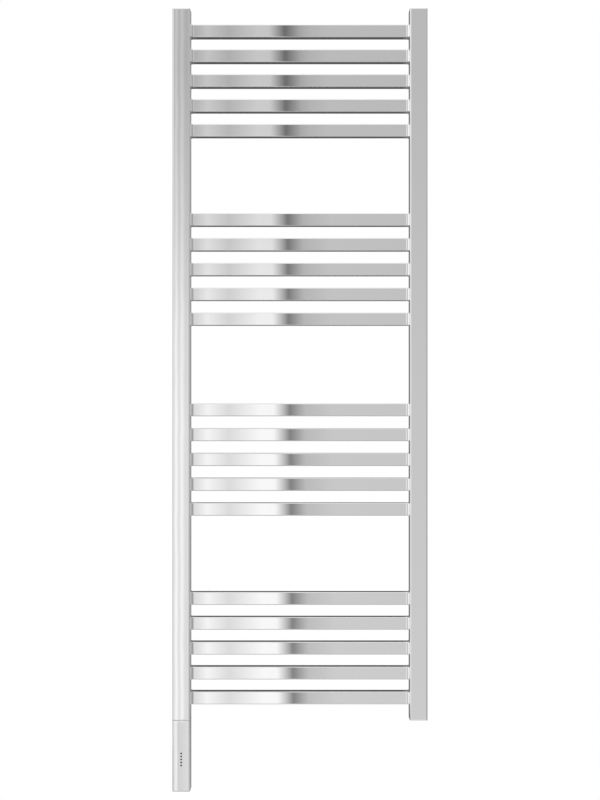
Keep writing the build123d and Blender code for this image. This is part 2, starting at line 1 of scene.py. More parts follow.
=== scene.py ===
import json
import logging
import math
from collections.abc import Sequence
from dataclasses import dataclass
from enum import Enum

import bmesh
import bpy
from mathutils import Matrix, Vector


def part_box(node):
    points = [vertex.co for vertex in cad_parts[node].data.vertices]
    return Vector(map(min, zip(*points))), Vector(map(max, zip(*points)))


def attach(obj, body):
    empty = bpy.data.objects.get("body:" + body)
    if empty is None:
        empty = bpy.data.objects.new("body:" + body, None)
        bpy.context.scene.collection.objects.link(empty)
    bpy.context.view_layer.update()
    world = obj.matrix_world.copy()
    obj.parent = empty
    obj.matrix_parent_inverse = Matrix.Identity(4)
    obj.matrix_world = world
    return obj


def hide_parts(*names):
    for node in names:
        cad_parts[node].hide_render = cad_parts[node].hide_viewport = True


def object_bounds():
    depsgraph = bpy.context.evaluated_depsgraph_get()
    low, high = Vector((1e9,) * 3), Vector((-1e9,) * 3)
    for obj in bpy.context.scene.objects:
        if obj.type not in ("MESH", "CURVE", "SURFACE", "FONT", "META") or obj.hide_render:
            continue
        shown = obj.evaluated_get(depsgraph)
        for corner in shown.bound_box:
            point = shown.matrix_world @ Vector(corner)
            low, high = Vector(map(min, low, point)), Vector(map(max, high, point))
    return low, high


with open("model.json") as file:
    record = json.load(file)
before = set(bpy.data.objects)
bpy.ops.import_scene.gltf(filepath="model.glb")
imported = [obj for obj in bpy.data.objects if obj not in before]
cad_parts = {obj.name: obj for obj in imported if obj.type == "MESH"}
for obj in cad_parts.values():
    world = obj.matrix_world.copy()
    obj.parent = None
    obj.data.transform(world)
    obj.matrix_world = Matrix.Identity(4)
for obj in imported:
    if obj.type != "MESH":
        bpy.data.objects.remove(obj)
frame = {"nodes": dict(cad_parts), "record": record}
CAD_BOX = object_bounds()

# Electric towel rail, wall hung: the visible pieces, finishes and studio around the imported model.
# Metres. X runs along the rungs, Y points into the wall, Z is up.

LOG = logging.getLogger("towel_rail")
MM = 0.001
RAIL = "rail"
SOCKETS = "wall_sockets"
BUTTON = "mode_button"

CUT_OVERRUN = 1 * MM  # how far a cutter reaches past the face that it cuts through
SHARP_ANGLE = 35.0  # degrees; edges that turn more than this stay crisp
NOISE_SPAN = {1: 0.3, 2: 0.7}  # MapRange inputs: nearly all of a noise lies between these

Ring = list[Vector]
Stop = tuple[float, float]


# ---------------------------------------------------------------- colours and nodes


def linear(code: str) -> tuple[float, float, float, float]:
    """Turns an sRGB hex colour into linear red, green, blue and alpha.

    Args:
        code: Six hex digits, with or without a leading #.

    Returns:
        The colour that a shader socket takes.
    """
    code = code.lstrip("#")
    parts = [int(code[at : at + 2], 16) / 255 for at in (0, 2, 4)]
    red, green, blue = (
        part / 12.92 if part <= 0.04045 else ((part + 0.055) / 1.055) ** 2.4 for part in parts
    )
    return red, green, blue, 1.0


def add_node(
    tree: bpy.types.NodeTree,
    kind: str,
    inputs: dict[str | int, object] | None = None,
    stops: Sequence[tuple[float, tuple[float, float, float, float]]] = (),
    **settings: object,
) -> bpy.types.Node:
    """Adds one node with its settings and links.

    Args:
        tree: The tree the node goes in.
        kind: The node's type, without the word ShaderNode.
        inputs: What each socket gets, by name or number: a value, or another node's output to link.
        stops: Places and colours, where the node has a ramp.
        **settings: The node's own properties.

    Returns:
        The new node.
    """
    node = tree.nodes.new(f"ShaderNode{kind}")
    for name, value in settings.items():
        setattr(node, name, value)
    for key, value in (inputs or {}).items():
        if isinstance(value, bpy.types.NodeSocket):
            tree.links.new(value, node.inputs[key])
        else:
            node.inputs[key].default_value = value
    if stops:
        elements = node.color_ramp.elements
        while len(elements) < len(stops):
            elements.new(1.0)
        for element, (place, colour) in zip(elements, sorted(stops)):
            element.position = place
            element.color = colour
    return node


# ---------------------------------------------------------------- finishes


@dataclass(frozen=True)
class Finish:
    """What every finish has: the name of its material, and the way it is made."""

    name: str

    def dress(self, tree: bpy.types.NodeTree, shader: bpy.types.Node, spot: bpy.types.NodeSocket) -> None:
        """Sets the shader and adds the finish's patterns.

        Args:
            tree: The material's node tree.
            shader: Its Principled shader.
            spot: Object coordinates in millimetres.
        """
        raise NotImplementedError

    def material(self) -> bpy.types.Material:
        """Makes the material, or gives the one already made."""
        made = bpy.data.materials.get(self.name)
        if made is None:
            made = bpy.data.materials.new(self.name)
            made.use_nodes = True
            tree = made.node_tree
            tree.nodes.clear()
            shader = add_node(tree, "BsdfPrincipled")
            add_node(tree, "OutputMaterial", {"Surface": shader.outputs[0]})
            metres = add_node(tree, "TexCoord").outputs["Object"]
            spot = add_node(tree, "VectorMath", {0: metres, 3: 1 / MM}, operation="SCALE").outputs[0]
            self.dress(tree, shader, spot)
        return made


@dataclass(frozen=True)
class MirrorChrome(Finish):
    """Decorative chrome over polished steel tube: a near perfect mirror, a little wavy from the wheel."""

    colour: str = "E7E7E7"
    haze: tuple[float, float] = (0.0, 0.014)
    haze_mm: float = 18.0
    wave_mm: float = 70.0
    wave_height_mm: float = 0.012

    def dress(self, tree: bpy.types.NodeTree, shader: bpy.types.Node, spot: bpy.types.NodeSocket) -> None:
        """Gives bright metal, patches of polishing haze, and a long shallow wave."""
        shader.inputs["Base Color"].default_value = linear(self.colour)
        shader.inputs["Metallic"].default_value = 1.0
        patch = add_node(tree, "TexNoise", {"Vector": spot, "Scale": 1 / self.haze_mm, "Detail": 3.0})
        low, high = self.haze
        haze = add_node(tree, "MapRange", {0: patch.outputs["Fac"], **NOISE_SPAN, 3: low, 4: high})
        wave = add_node(tree, "TexNoise", {"Vector": spot, "Scale": 1 / self.wave_mm, "Detail": 1.0})
        bump = add_node(tree, "Bump", {"Distance": self.wave_height_mm * MM, "Height": wave.outputs["Fac"]})
        tree.links.new(haze.outputs[0], shader.inputs["Roughness"])
        tree.links.new(bump.outputs[0], shader.inputs["Normal"])


@dataclass(frozen=True)
class MachinedMetal(Finish):
    """Turned, drawn or plated metal: fine tool lines that vary its shine and its colour a little."""

    colour: str = "BFBFBE"
    worn: str = "A9A9A8"
    roughness: tuple[float, float] = (0.18, 0.32)
    line_mm: float = 0.35  # real tool marks are nearer 0.1 mm; these are as fine as a close view can show
    line_squeeze: float = 0.08  # draws each mark out along X
    height_mm: float = 0.004
    cloud_mm: float = 25 / 3

    def dress(self, tree: bpy.types.NodeTree, shader: bpy.types.Node, spot: bpy.types.NodeSocket) -> None:
        """Gives two close tones of metal, mottled shine and lines along the turning."""
        shader.inputs["Metallic"].default_value = 1.0
        cloud = add_node(tree, "TexNoise", {"Vector": spot, "Scale": 1 / self.cloud_mm, "Detail": 4.0})
        ramp = [(0.35, linear(self.worn)), (0.65, linear(self.colour))]
        tone = add_node(tree, "ValToRGB", {"Fac": cloud.outputs["Fac"]}, ramp)
        squeezed = add_node(tree, "Mapping", {"Vector": spot, "Scale": (self.line_squeeze, 1.0, 1.0)})
        lines = add_node(
            tree, "TexNoise", {"Vector": squeezed.outputs[0], "Scale": 1 / self.line_mm, "Detail": 2.0}
        )
        low, high = self.roughness
        shine = add_node(tree, "MapRange", {0: lines.outputs["Fac"], **NOISE_SPAN, 3: low, 4: high})
        relief = {"Strength": 0.6, "Distance": self.height_mm * MM, "Height": lines.outputs["Fac"]}
        bump = add_node(tree, "Bump", relief)
        tree.links.new(tone.outputs[0], shader.inputs["Base Color"])
        tree.links.new(shine.outputs[0], shader.inputs["Roughness"])
        tree.links.new(bump.outputs[0], shader.inputs["Normal"])


@dataclass(frozen=True)
class MouldedPolymer(Finish):
    """Moulded plastic or rubber: an even colour broken by the mould's spark-eroded grain."""

    colour: str = "1E1E20"
    bloom: str = "2A2A2C"
    roughness: tuple[float, float] = (0.42, 0.58)
    ior: float = 1.5
    grain_mm: float = 0.6  # real spark grain is nearer 0.1 mm; this is as fine as a close view can show
    height_mm: float = 0.012
    cloud_mm: float = 5.0

    def dress(self, tree: bpy.types.NodeTree, shader: bpy.types.Node, spot: bpy.types.NodeSocket) -> None:
        """Gives a body colour with a paler bloom, and the grain in bump and shine."""
        shader.inputs["IOR"].default_value = self.ior
        cloud = add_node(tree, "TexNoise", {"Vector": spot, "Scale": 1 / self.cloud_mm, "Detail": 3.0})
        ramp = [(0.4, linear(self.colour)), (0.75, linear(self.bloom))]
        tone = add_node(tree, "ValToRGB", {"Fac": cloud.outputs["Fac"]}, ramp)
        grain = add_node(tree, "TexVoronoi", {"Vector": spot, "Scale": 1 / self.grain_mm})
        low, high = self.roughness
        shine = add_node(tree, "MapRange", {0: grain.outputs["Distance"], 1: 0.0, 2: 0.8, 3: low, 4: high})
        relief = {"Strength": 0.5, "Distance": self.height_mm * MM, "Height": grain.outputs["Distance"]}
        bump = add_node(tree, "Bump", relief)
        tree.links.new(tone.outputs[0], shader.inputs["Base Color"])
        tree.links.new(shine.outputs[0], shader.inputs["Roughness"])
        tree.links.new(bump.outputs[0], shader.inputs["Normal"])


@dataclass(frozen=True)
class SmokedPolycarbonate(Finish):
    """Smoked polycarbonate light pipe, unlit: a grey glossy dot with the dark of the head behind it."""

    colour: str = "55575A"
    deep: str = "47494C"
    roughness: float = 0.12
    ior: float = 1.585
    gloss: float = 0.3
    gloss_roughness: float = 0.05
    cloud_mm: float = 1.25

    def dress(self, tree: bpy.types.NodeTree, shader: bpy.types.Node, spot: bpy.types.NodeSocket) -> None:
        """Gives cloudy grey under a clear gloss."""
        shader.inputs["IOR"].default_value = self.ior
        shader.inputs["Roughness"].default_value = self.roughness
        shader.inputs["Coat Weight"].default_value = self.gloss
        shader.inputs["Coat Roughness"].default_value = self.gloss_roughness
        cloud = add_node(tree, "TexNoise", {"Vector": spot, "Scale": 1 / self.cloud_mm, "Detail": 2.0})
        ramp = [(0.4, linear(self.deep)), (0.6, linear(self.colour))]
        tone = add_node(tree, "ValToRGB", {"Fac": cloud.outputs["Fac"]}, ramp)
        tree.links.new(tone.outputs[0], shader.inputs["Base Color"])


@dataclass(frozen=True)
class SolderMask(Finish):
    """Glass-epoxy board under green solder mask: copper tracks show through as paler lines."""

    mask: str = "0F4A2B"
    track: str = "2A7447"
    track_mm: float = 2.0
    track_width: float = 0.08
    track_height_mm: float = 0.03
    roughness: float = 0.35

    def dress(self, tree: bpy.types.NodeTree, shader: bpy.types.Node, spot: bpy.types.NodeSocket) -> None:
        """Gives a grid of tracks, raised a little, under an even gloss."""
        shader.inputs["Roughness"].default_value = self.roughness
        upright = add_node(tree, "Mapping", {"Vector": spot, "Rotation": (math.pi / 2, 0.0, 0.0)})
        tracks = add_node(
            tree,
            "TexBrick",
            {
                "Vector": upright.outputs[0],
                "Scale": 1 / self.track_mm,
                "Color1": linear(self.mask),
                "Color2": linear(self.mask),
                "Mortar": linear(self.track),
                "Mortar Size": self.track_width,
            },
        )
        relief = {"Strength": 0.6, "Distance": self.track_height_mm * MM, "Height": tracks.outputs["Fac"]}
        bump = add_node(tree, "Bump", relief)
        tree.links.new(tracks.outputs["Color"], shader.inputs["Base Color"])
        tree.links.new(bump.outputs[0], shader.inputs["Normal"])


@dataclass(frozen=True)
class PaintedFloor(Finish):
    """Pale matt floor paint, rolled on: faint mottling, hardly any shine."""

    light: str = "E1E0DD"
    dark: str = "DEDDDA"
    roughness: float = 0.6
    cloud_mm: float = 100.0

    def dress(self, tree: bpy.types.NodeTree, shader: bpy.types.Node, spot: bpy.types.NodeSocket) -> None:
        """Gives two close tones of off-white."""
        shader.inputs["Roughness"].default_value = self.roughness
        roller = add_node(tree, "TexNoise", {"Vector": spot, "Scale": 1 / self.cloud_mm, "Detail": 4.0})
        ramp = [(0.3, linear(self.dark)), (0.7, linear(self.light))]
        tone = add_node(tree, "ValToRGB", {"Fac": roller.outputs["Fac"]}, ramp)
        tree.links.new(tone.outputs[0], shader.inputs["Base Color"])


FLOOR = PaintedFloor("pale_floor_paint")
FINISHES: dict[str, Finish] = {
    # the frame and the head: bright mirror, hardly any colour of its own
    "chrome_plated_steel": MirrorChrome("bright_chrome_on_steel"),
    # bosses and screws: bluish white and satin
    "zinc_plated_steel": MachinedMetal("zinc_plated_steel", "C4C6C8", "A6A9AC", (0.24, 0.38)),
    # heater sheath and sensor: grey with a faint warmth, drawn along its length
    "stainless_steel": MachinedMetal("drawn_stainless_steel", "BFBCB7", "A5A29D", (0.2, 0.34)),
    # gland and vent: a warm white metal, nearly bright
    "nickel_plated_brass": MachinedMetal("nickel_plated_brass", "D2CEC4", "BEB9AE", (0.12, 0.24)),
    # heater head and vent boss: yellow, bright from the lathe
    "brass": MachinedMetal("turned_brass", "DDB76A", "C19A52", (0.16, 0.3)),
    # seals: black and quite dull
    "epdm_rubber": MouldedPolymer("epdm_rubber", "1B1B1C", "262627", (0.65, 0.85), 1.52, 0.8),
    # carrier and locknut: charcoal, its fibres leave it uneven
    "glass_filled_nylon": MouldedPolymer("glass_filled_nylon", "232325", "303033", (0.45, 0.62), 1.53, 0.7),
    # button: dark grey with a soft shine
    "moulded_abs": MouldedPolymer("moulded_abs", "29292B", "333336", (0.32, 0.46), 1.54, 0.5, 0.008),
    "terminal_nylon": MouldedPolymer("grey_terminal_nylon", "8A9093", "989EA1", (0.4, 0.55), 1.53, 0.7),
    "smoked_polycarbonate": SmokedPolycarbonate("smoked_polycarbonate"),
    "glass_epoxy_board": SolderMask("glass_epoxy_board"),
    "epoxy_chip": MouldedPolymer("moulded_epoxy", "19191A", "222223", (0.5, 0.65), 1.55, 0.4),
    # a shrunk sleeve: smooth, dark blue-grey
    "capacitor_aluminium": MouldedPolymer(
        "capacitor_sleeve", "20232C", "2A2E38", (0.25, 0.35), 1.5, 1.0, 0.004
    ),
    # wires: off-white, dull and soft
    "silicone_insulation": MouldedPolymer("white_silicone", "DAD9D5", "E4E3E0", (0.55, 0.7), 1.42, 0.8),
}


# ---------------------------------------------------------------- shapes


class Axis(Enum):
    """The way a turned or hexagonal part points: its own direction, then the two across it."""

    X = ((1, 0, 0), (0, 1, 0), (0, 0, 1))
    Y = ((0, 1, 0), (0, 0, 1), (1, 0, 0))
    Z = ((0, 0, 1), (1, 0, 0), (0, 1, 0))

    def point(self, centre: Vector, along: float, across: float, up: float) -> Vector:
        """Gives a point from its distances along and across the axis through centre."""
        way, first, second = (Vector(part) for part in self.value)
        return centre + way * along + first * across + second * up


def rounded_outline(
    width: float, height: float, radius: float, steps: int = 6, hold: float = 0.15 * MM
) -> list[Stop]:
    """Draws a rounded rectangle about its own centre.

    Args:
        width: Size across.
        height: Size up.
        radius: Radius of the corners.
        steps: Segments in each corner.
        hold: How far past a corner its flats get one more point, so that they shade flat.

    Returns:
        The outline's points, anticlockwise.
    """
    radius = max(radius, 0.1 * MM)
    points: list[Stop] = []
    for quarter in range(4):
        start = quarter * math.pi / 2
        middle = (
            math.copysign(width / 2 - radius, math.cos(start + math.pi / 4)),
            math.copysign(height / 2 - radius, math.sin(start + math.pi / 4)),
        )
        arc = [start + math.pi / 2 * step / steps for step in range(steps + 1)]
        corner = [(middle[0] + radius * math.cos(a), middle[1] + radius * math.sin(a)) for a in arc]
        before = (corner[0][0] + hold * math.sin(start), corner[0][1] - hold * math.cos(start))
        end = start + math.pi / 2
        after = (corner[-1][0] - hold * math.sin(end), corner[-1][1] + hold * math.cos(end))
        points += [before, *corner, after]
    return points


def quarter_round(radius: float, steps: int = 4) -> list[Stop]:
    """Gives the two distances from a sharp edge, as a quarter round of that radius takes it off.

    Args:
        radius: The edge's radius.
        steps: Segments in the round.

    Returns:
        Pairs of (distance in from the side, distance back from the end), from side to end.
    """
    angles = [math.pi / 2 * step / steps for step in range(steps + 1)]
    return [(radius * (1 - math.cos(a)), radius * (1 - math.sin(a))) for a in angles]


class Workpiece:
    """A piece being made: its mesh, and how it joins the model."""

    def __init__(self, name: str) -> None:
        """Starts an empty piece.

        Args:
            name: The piece's name in the model.
        """
        self.name = name
        self.mesh = bmesh.new()

    def loft(self, rings: Sequence[Ring], closed: bool = False) -> None:
        """Skins a closed form through rings of equal length.

        Args:
            rings: The rings in order.
            closed: True joins the last ring to the first, and False closes both ends with a face.
        """
        rows = [[self.mesh.verts.new(point) for point in ring] for ring in rings]
        faces: list[bmesh.types.BMFace] = []
        for row, following in zip(rows, rows[1:] + rows[:1] if closed else rows[1:]):
            for at in range(len(row)):
                to = (at + 1) % len(row)
                faces.append(self.mesh.faces.new((row[at], row[to], following[to], following[at])))
        if not closed:
            faces += [self.mesh.faces.new(rows[0][::-1]), self.mesh.faces.new(rows[-1])]
        bmesh.ops.recalc_face_normals(self.mesh, faces=faces)

    def turn(
        self, axis: Axis, centre: Vector, profile: Sequence[Stop], steps: int = 48, closed: bool = False
    ) -> None:
        """Turns a form on an axis.

        Args:
            axis: The axis's direction.
            centre: A point on it.
            profile: Pairs of (distance along the axis, radius), in order.
            steps: Segments round the form.
            closed: True for a bored form, whose profile closes on itself.
        """
        turns = [2 * math.pi * step / steps for step in range(steps)]
        rings = []
        for along, radius in profile:
            spokes = [(radius * math.cos(turn), radius * math.sin(turn)) for turn in turns]
            rings.append([axis.point(centre, along, across, up) for across, up in spokes])
        self.loft(rings, closed)

    def obj(self, sharp_angle: float = SHARP_ANGLE) -> bpy.types.Object:
        """Turns the mesh into an object with smooth shading and crisp edges.

        Args:
            sharp_angle: Edges that turn more than this, in degrees, stay crisp.

        Returns:
            The object.
        """
        data = bpy.data.meshes.new(self.name)
        self.mesh.to_mesh(data)
        self.mesh.free()
        data.polygons.foreach_set("use_smooth", [True] * len(data.polygons))
        data.set_sharp_from_angle(angle=math.radians(sharp_angle))
        made = bpy.data.objects.new(self.name, data)
        bpy.context.scene.collection.objects.link(made)
        return made


def carve(target: bpy.types.Object, tools: Sequence[Workpiece]) -> None:
    """Cuts the shapes of some tools out of a piece.

    Args:
        target: The piece.
        tools: The shapes to cut, which are used up.
    """
    for tool in tools:
        cutter = tool.obj()
        cut = target.modifiers.new(tool.name, "BOOLEAN")
        cut.object = cutter
        cut.solver = "EXACT"
        ready = target.evaluated_get(bpy.context.evaluated_depsgraph_get())
        carved = bpy.data.meshes.new_from_object(ready)
        target.modifiers.clear()
        target.data = carved
        bpy.data.objects.remove(cutter)


def soften(piece: bpy.types.Object, width: float, weld: bool = False) -> None:
    """Breaks a piece's sharp edges, as tumbling or a cutter's chamfer does.

    Args:
        piece: The piece.
        width: Width of the broken edge.
        weld: True first joins the corners that a tessellated surface leaves apart.
    """
    if weld:
        piece.modifiers.new("join", "WELD").merge_threshold = 0.01 * MM
    edge = piece.modifiers.new("edge", "BEVEL")
    edge.width = width
    edge.segments = 3
    edge.limit_method = "ANGLE"
    edge.angle_limit = math.radians(40)
    edge.harden_normals = False
    shading = piece.modifiers.new("shading", "WEIGHTED_NORMAL")
    shading.keep_sharp = True
    shading.weight = 90


def place(piece: bpy.types.Object, body: str, slot: str, *nodes: str) -> None:
    """Puts a finished piece in the model, in place of CAD nodes.

    Args:
        piece: The piece.
        body: The body it moves with.
        slot: The record's material slot, which picks its finish.
        *nodes: The CAD nodes it stands for.
    """
    piece.data.materials.clear()
    piece.data.materials.append(FINISHES[slot].material())
    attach(piece, body)
    if nodes:
        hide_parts(*nodes)
    LOG.info("%s rides on %s and stands for %s", piece.name, body, ", ".join(nodes) or "nothing")


# ---------------------------------------------------------------- welded frame


@dataclass
class Uprights:
    """The two square tubes, their end plates and the threaded bosses in their feet."""

    wall: float = 1.5 * MM
    corner: float = 3.0 * MM
    top_edge: float = 0.7 * MM
    foot_edge: float = 0.3 * MM
    plate_seam: float = 0.15 * MM
    boss_bore: float = 10.5 * MM
    boss_edge: float = 0.4 * MM
    hold: float = 2 * MM  # the flats get one more ring this far from each end, so that they shade flat

    def section(self, low: Vector, high: Vector, z: float, inset: float) -> Ring:
        """Draws the tube's section at a height, drawn in by inset."""
        size_x, size_y = high.x - low.x - 2 * inset, high.y - low.y - 2 * inset
        middle = (low + high) / 2
        outline = rounded_outline(size_x, size_y, self.corner - inset)
        return [Vector((middle.x + across, middle.y + up, z)) for across, up in outline]

    def tube(self, node: str) -> None:
        """Builds one upright, open at the foot and at the top.

        Args:
            node: The CAD node it stands for.
        """
        low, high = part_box(node)
        inner = self.wall
        outside = [(high.z - end, inset) for inset, end in quarter_round(self.top_edge)]
        foot = [(low.z + end, inset) for inset, end in reversed(quarter_round(self.foot_edge))]
        path = [
            (low.z + self.foot_edge, inner),
            (high.z - self.foot_edge, inner),
            (high.z, inner - self.plate_seam),
            *reversed(outside),
            (high.z - self.top_edge - self.hold, 0.0),
            (low.z + self.foot_edge + self.hold, 0.0),
            *reversed(foot),
            (low.z, inner - self.foot_edge),
        ]
        piece = Workpiece(f"{node}_tube")
        piece.loft([self.section(low, high, z, inset) for z, inset in path], closed=True)
        place(piece.obj(), RAIL, "chrome_plated_steel", node)

    def plates(self, name: str, node: str, top_seam: bool) -> bpy.types.Object:
        """Builds the pair of plates inside the tubes' ends.

        Args:
            name: The piece's name.
            node: The CAD node, which gives the height.
            top_seam: True breaks the upper edge, which shows, and False the lower one.

        Returns:
            The two plates as one object.
        """
        piece = Workpiece(name)
        node_low, node_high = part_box(node)
        for upright in ("left_upright", "right_upright"):
            low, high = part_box(upright)
            gap, seam = self.wall, self.wall + self.plate_seam
            ends = (gap, seam) if top_seam else (seam, gap)
            path = [(node_low.z, ends[0])]
            path += [(node_low.z + self.plate_seam, gap), (node_high.z - self.plate_seam, gap)]
            path += [(node_high.z, ends[1])]
            piece.loft([self.section(low, high, z, inset) for z, inset in path])
        return piece.obj()

    def build(self) -> None:
        """Builds both uprights with their plates and bosses."""
        for node in ("left_upright", "right_upright"):
            self.tube(node)
        place(self.plates("top_end_plates", "top_caps", True), RAIL, "chrome_plated_steel", "top_caps")
        bosses = self.plates("foot_bosses", "bottom_bosses", False)
        low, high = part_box("bottom_bosses")
        bores = []
        for upright in ("left_upright", "right_upright"):
            middle = sum(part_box(upright), Vector()) / 2
            bore = Workpiece(f"{upright}_bore")
            ends = (low.z - CUT_OVERRUN, high.z + CUT_OVERRUN)
            bore.turn(Axis.Z, Vector((middle.x, middle.y, 0)), [(end, self.boss_bore) for end in ends], 64)
            bores.append(bore)
        carve(bosses, bores)
        soften(bosses, self.boss_edge)
        place(bosses, RAIL, "zinc_plated_steel", "bottom_bosses")


@dataclass
class Rungs:
    """The flat tubes, each drawn out front and back into a flare where it meets the uprights."""

    corner: float = 1.5 * MM
    flare_length: float = 7.2 * MM
    flare_depth: float = 6.0 * MM
    flare_steps: int = 10
    holds: tuple[float, float] = (4 * MM, 0.3 * MM)  # rings before the flare, so that the flats shade flat
    count: int = 20

    def stations(self, inner_face: float, end: float) -> list[Stop]:
        """Gives the places along half a rung, and how far its depth grows at each.

        Args:
            inner_face: Distance from the middle to the upright's face.
            end: Distance from the middle to the tube's end, inside the upright's wall.

        Returns:
            Pairs of (distance from the middle, growth at front and at back).
        """
        start = inner_face - self.flare_length
        places = [(0.0, 0.0), *((start - hold, 0.0) for hold in self.holds)]
        for step in range(self.flare_steps + 1):
            angle = math.pi / 2 * step / self.flare_steps
            along = start + self.flare_length * math.sin(angle)
            places.append((along, self.flare_depth * (1 - math.cos(angle))))
        return [*places, (end, self.flare_depth)]

    def build(self) -> None:
        """Builds every rung."""
        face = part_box("right_upright")[0].x
        for number in range(1, self.count + 1):
            node = f"rung_{number:02d}"
            low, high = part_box(node)
            middle = (low + high) / 2
            half = self.stations(face, high.x)
            whole = [(-away, growth) for away, growth in reversed(half[1:])] + half
            rings = []
            for x, growth in whole:
                outline = rounded_outline(high.y - low.y + 2 * growth, high.z - low.z, self.corner, 5)
                rings.append([Vector((x, middle.y + across, middle.z + up)) for across, up in outline])
            piece = Workpiece(f"{node}_flat_tube")
            piece.loft(rings)
            place(piece.obj(), RAIL, "chrome_plated_steel", node)


# ---------------------------------------------------------------- wall brackets


@dataclass
class Brackets:
    """The telescopic wall brackets: posts on the rail, and grub screws in the sockets."""

    post_radius: float = 9.0 * MM
    post_length: float = 50.0 * MM
    post_round: float = 0.5 * MM
    collar_radius: float = 11.5 * MM
    collar_length: float = 3.0 * MM
    collar_round: float = 0.8 * MM
    collar_fillet: float = 0.4 * MM
    hold: float = 1.0 * MM
    grub_radius: float = 2.5 * MM
    grub_length: float = 3.0 * MM
    grub_key: float = 1.25 * MM
    grub_key_ends: tuple[float, float] = (-0.5 * MM, 1.8 * MM)
    grub_edge: float = 0.15 * MM

    def posts(self) -> None:
        """Builds the four posts with their welding collars."""
        low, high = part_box("bracket_posts")
        collar, post = self.collar_radius, self.post_radius
        rim = [(self.collar_length - end, collar - inset) for inset, end in quarter_round(self.collar_round)]
        tip = [(self.post_length - end, post - inset) for inset, end in quarter_round(self.post_round)]
        profile = [
            (0.0, collar),
            *rim,
            (self.collar_length, post + self.collar_fillet),
            (self.collar_length + self.collar_fillet, post),
            (self.collar_length + self.hold, post),
            (self.post_length - self.hold, post),
            *tip,
        ]
        piece = Workpiece("telescopic_posts")
        for x in (low.x + collar, high.x - collar):
            for z in (low.z + collar, high.z - collar):
                piece.turn(Axis.Y, Vector((x, low.y, z)), profile, 64)
        place(piece.obj(), RAIL, "chrome_plated_steel", "bracket_posts")

    def grub_screws(self) -> None:
        """Builds the four headless screws, their key sockets facing down."""
        low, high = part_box("bracket_grub_screws")
        middle_y = (low.y + high.y) / 2
        key_corner = self.grub_key / math.cos(math.pi / 6)
        piece = Workpiece("socket_grub_screws")
        keys = []
        for x in (low.x + self.grub_radius, high.x - self.grub_radius):
            for z in (low.z, high.z - self.grub_length):
                foot = Vector((x, middle_y, z))
                piece.turn(Axis.Z, foot, [(end, self.grub_radius) for end in (0.0, self.grub_length)], 32)
                key = Workpiece("key")
                key.turn(Axis.Z, foot, [(end, key_corner) for end in self.grub_key_ends], 6)
                keys.append(key)
        made = piece.obj()
        carve(made, keys)
        soften(made, self.grub_edge)
        place(made, SOCKETS, "zinc_plated_steel", "bracket_grub_screws")

    def build(self) -> None:
        """Builds the posts and the grub screws."""
        self.posts()
        self.grub_screws()


# ---------------------------------------------------------------- control head


